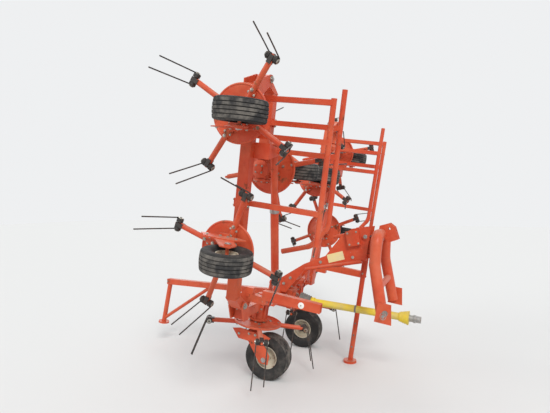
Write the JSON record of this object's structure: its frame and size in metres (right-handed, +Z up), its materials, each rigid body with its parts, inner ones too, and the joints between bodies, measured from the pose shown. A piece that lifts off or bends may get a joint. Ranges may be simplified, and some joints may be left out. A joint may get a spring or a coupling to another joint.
{
  "type": "mounted rotary hay tedder with eight rotors, folded for transport",
  "caption": "Mounted rotary hay tedder with its wings folded up: tined rotors on gauge wheels, guard rails, fold cylinders and a swivelling three-point headstock.",
  "frame": {"origin": "on the floor, at the middle of the whole machine's box", "axes": "+X forward towards the tractor, +Y to the machine's left, +Z up"},
  "size_m": [2.8756, 3.6858, 2.7769],
  "materials": {
    "frame_paint": "sun-faded orange-red paint, chipped at edges",
    "casting_paint": "orange-red paint on rough castings, oily dust",
    "rotor_paint": "orange-red paint, worn, with dark spring-steel tines",
    "ram_steel": "orange-red painted tie tube over a bright rod",
    "rim_paint": "cream rim paint with rust at the hub",
    "tyre_rubber": "dusty black ribbed tyre",
    "shaft_guard": "faded yellow guard tube"
  },
  "bodies": {
    "frame": {"main_beam": "frame_paint", "draft_frame": "frame_paint", "gearbox": "casting_paint", "guard_arms": "frame_paint", "front_jack": "frame_paint", "rear_stand": "frame_paint", "drive_shaft": "shaft_guard"},
    "headstock": {"headstock": "frame_paint", "hoop_legs": "frame_paint"},
    "wing_r": {"wing_beam_r": "frame_paint", "wing_guard_r": "frame_paint"},
    "tip_r": {"tip_beam_r": "frame_paint", "tip_guard_r": "frame_paint"},
    "barrel_r": {"barrel_r": "frame_paint"},
    "ram_r": {"ram_r": "ram_steel"},
    "rotor_r0": {"rotor_r0": "rotor_paint"},
    "wheel_r0": {"tyre_r0": "tyre_rubber", "rim_r0": "rim_paint"},
    "rotor_r1": {"rotor_r1": "rotor_paint"},
    "wheel_r1": {"tyre_r1": "tyre_rubber", "rim_r1": "rim_paint"},
    "rotor_r2": {"rotor_r2": "rotor_paint"},
    "wheel_r2": {"tyre_r2": "tyre_rubber", "rim_r2": "rim_paint"},
    "rotor_r3": {"rotor_r3": "rotor_paint"},
    "wheel_r3": {"tyre_r3": "tyre_rubber", "rim_r3": "rim_paint"},
    "wing_l": {"wing_beam_l": "frame_paint", "wing_guard_l": "frame_paint"},
    "tip_l": {"tip_beam_l": "frame_paint", "tip_guard_l": "frame_paint"},
    "barrel_l": {"barrel_l": "frame_paint"},
    "ram_l": {"ram_l": "ram_steel"},
    "rotor_l0": {"rotor_l0": "rotor_paint"},
    "wheel_l0": {"tyre_l0": "tyre_rubber", "rim_l0": "rim_paint"},
    "rotor_l1": {"rotor_l1": "rotor_paint"},
    "wheel_l1": {"tyre_l1": "tyre_rubber", "rim_l1": "rim_paint"},
    "rotor_l2": {"rotor_l2": "rotor_paint"},
    "wheel_l2": {"tyre_l2": "tyre_rubber", "rim_l2": "rim_paint"},
    "rotor_l3": {"rotor_l3": "rotor_paint"},
    "wheel_l3": {"tyre_l3": "tyre_rubber", "rim_l3": "rim_paint"}
  },
  "joints": [
    {"name": "headstock_swivel", "type": "hinge", "parent": "frame", "child": "headstock", "pos_m": [0.95819, 0, 1.05394], "axis": [0.1478, 0, 0.989], "range_deg": [-10, 10]},
    {"name": "wing_fold_r", "type": "hinge", "parent": "frame", "child": "wing_r", "pos_m": [0.077, -0.99, 0.77311], "axis": [-0.989, 0, 0.1478], "range_deg": [-85.5, 0]},
    {"name": "tip_fold_r", "type": "hinge", "parent": "wing_r", "child": "tip_r", "pos_m": [0.3445, -1.06422, 2.56298], "axis": [-0.989, 0, 0.1478], "range_deg": [-180.01, 0.01]},
    {"name": "barrel_swing_r", "type": "hinge", "parent": "frame", "child": "barrel_r", "pos_m": [0.22721, -0.55, 0.88514], "axis": [-0.989, 0, 0.1478], "range_deg": [-70.54, 0.5]},
    {"name": "ram_slide_r", "type": "slide", "parent": "barrel_r", "child": "ram_r", "axis": [0.1383, -0.3524, 0.9256], "range_m": [-0.002, 0.4926]},
    {"name": "rotor_spin_r0", "type": "hinge", "parent": "frame", "child": "rotor_r0", "pos_m": [0.03753, -0.5, 0.50904], "axis": [0.1478, 0, 0.989], "continuous": true},
    {"name": "wheel_spin_r0", "type": "hinge", "parent": "frame", "child": "wheel_r0", "pos_m": [0.14376, -0.5, 0.205], "axis": [0, 1, 0], "continuous": true},
    {"name": "rotor_spin_r1", "type": "hinge", "parent": "wing_r", "child": "rotor_r1", "pos_m": [0.14905, -1.29619, 1.25523], "axis": [0.0116, 0.9969, 0.0776], "continuous": true},
    {"name": "wheel_spin_r1", "type": "hinge", "parent": "wing_r", "child": "wheel_r1", "pos_m": [0.2941, -1.58031, 1.21095], "axis": [-0.1474, 0.0785, -0.986], "continuous": true},
    {"name": "rotor_spin_r2", "type": "hinge", "parent": "wing_r", "child": "rotor_r2", "pos_m": [0.29641, -1.37465, 2.2412], "axis": [0.0116, 0.9969, 0.0776], "continuous": true},
    {"name": "wheel_spin_r2", "type": "hinge", "parent": "wing_r", "child": "wheel_r2", "pos_m": [0.44145, -1.65877, 2.19691], "axis": [-0.1474, 0.0785, -0.986], "continuous": true},
    {"name": "rotor_spin_r3", "type": "hinge", "parent": "tip_r", "child": "rotor_r3", "pos_m": [0.24524, -0.67533, 1.8988], "axis": [-0.0116, -0.9969, -0.0776], "continuous": true},
    {"name": "wheel_spin_r3", "type": "hinge", "parent": "tip_r", "child": "wheel_r3", "pos_m": [0.39689, -0.39121, 1.89875], "axis": [0.1474, -0.0785, 0.986], "continuous": true},
    {"name": "wing_fold_l", "type": "hinge", "parent": "frame", "child": "wing_l", "pos_m": [0.077, 0.99, 0.77311], "axis": [0.989, 0, -0.1478], "range_deg": [-85.5, 0]},
    {"name": "tip_fold_l", "type": "hinge", "parent": "wing_l", "child": "tip_l", "pos_m": [0.3445, 1.06422, 2.56298], "axis": [0.989, 0, -0.1478], "range_deg": [-180.01, 0.01]},
    {"name": "barrel_swing_l", "type": "hinge", "parent": "frame", "child": "barrel_l", "pos_m": [0.22721, 0.55, 0.88514], "axis": [0.989, 0, -0.1478], "range_deg": [-70.54, 0.5]},
    {"name": "ram_slide_l", "type": "slide", "parent": "barrel_l", "child": "ram_l", "axis": [0.1383, 0.3524, 0.9256], "range_m": [-0.002, 0.4926]},
    {"name": "rotor_spin_l0", "type": "hinge", "parent": "frame", "child": "rotor_l0", "pos_m": [0.03753, 0.5, 0.50904], "axis": [0.1478, 0, 0.989], "continuous": true},
    {"name": "wheel_spin_l0", "type": "hinge", "parent": "frame", "child": "wheel_l0", "pos_m": [0.14376, 0.5, 0.205], "axis": [0, 1, 0], "continuous": true},
    {"name": "rotor_spin_l1", "type": "hinge", "parent": "wing_l", "child": "rotor_l1", "pos_m": [0.14905, 1.29619, 1.25523], "axis": [0.0116, -0.9969, 0.0776], "continuous": true},
    {"name": "wheel_spin_l1", "type": "hinge", "parent": "wing_l", "child": "wheel_l1", "pos_m": [0.2941, 1.58031, 1.21095], "axis": [0.1474, 0.0785, 0.986], "continuous": true},
    {"name": "rotor_spin_l2", "type": "hinge", "parent": "wing_l", "child": "rotor_l2", "pos_m": [0.29641, 1.37465, 2.2412], "axis": [0.0116, -0.9969, 0.0776], "continuous": true},
    {"name": "wheel_spin_l2", "type": "hinge", "parent": "wing_l", "child": "wheel_l2", "pos_m": [0.44145, 1.65877, 2.19691], "axis": [0.1474, 0.0785, 0.986], "continuous": true},
    {"name": "rotor_spin_l3", "type": "hinge", "parent": "tip_l", "child": "rotor_l3", "pos_m": [0.24524, 0.67533, 1.8988], "axis": [-0.0116, 0.9969, -0.0776], "continuous": true},
    {"name": "wheel_spin_l3", "type": "hinge", "parent": "tip_l", "child": "wheel_l3", "pos_m": [0.39689, 0.39121, 1.89875], "axis": [-0.1474, -0.0785, -0.986], "continuous": true}
  ],
  "couplings": [
    {"joint": "tip_fold_r", "follows": "wing_fold_r", "ratio": 2.1053},
    {"joint": "barrel_swing_r", "follows": "wing_fold_r", "ratio": 0.8192},
    {"joint": "ram_slide_r", "follows": "wing_fold_r", "m_per_rad": -0.32874},
    {"joint": "rotor_spin_r1", "follows": "rotor_spin_r0", "ratio": -1},
    {"joint": "rotor_spin_r2", "follows": "rotor_spin_r0", "ratio": 1},
    {"joint": "rotor_spin_r3", "follows": "rotor_spin_r0", "ratio": -1},
    {"joint": "tip_fold_l", "follows": "wing_fold_l", "ratio": 2.1053},
    {"joint": "barrel_swing_l", "follows": "wing_fold_l", "ratio": 0.8192},
    {"joint": "ram_slide_l", "follows": "wing_fold_l", "m_per_rad": -0.32874},
    {"joint": "rotor_spin_l0", "follows": "rotor_spin_r0", "ratio": -1},
    {"joint": "rotor_spin_l1", "follows": "rotor_spin_r0", "ratio": 1},
    {"joint": "rotor_spin_l2", "follows": "rotor_spin_r0", "ratio": -1},
    {"joint": "rotor_spin_l3", "follows": "rotor_spin_r0", "ratio": 1}
  ]
}
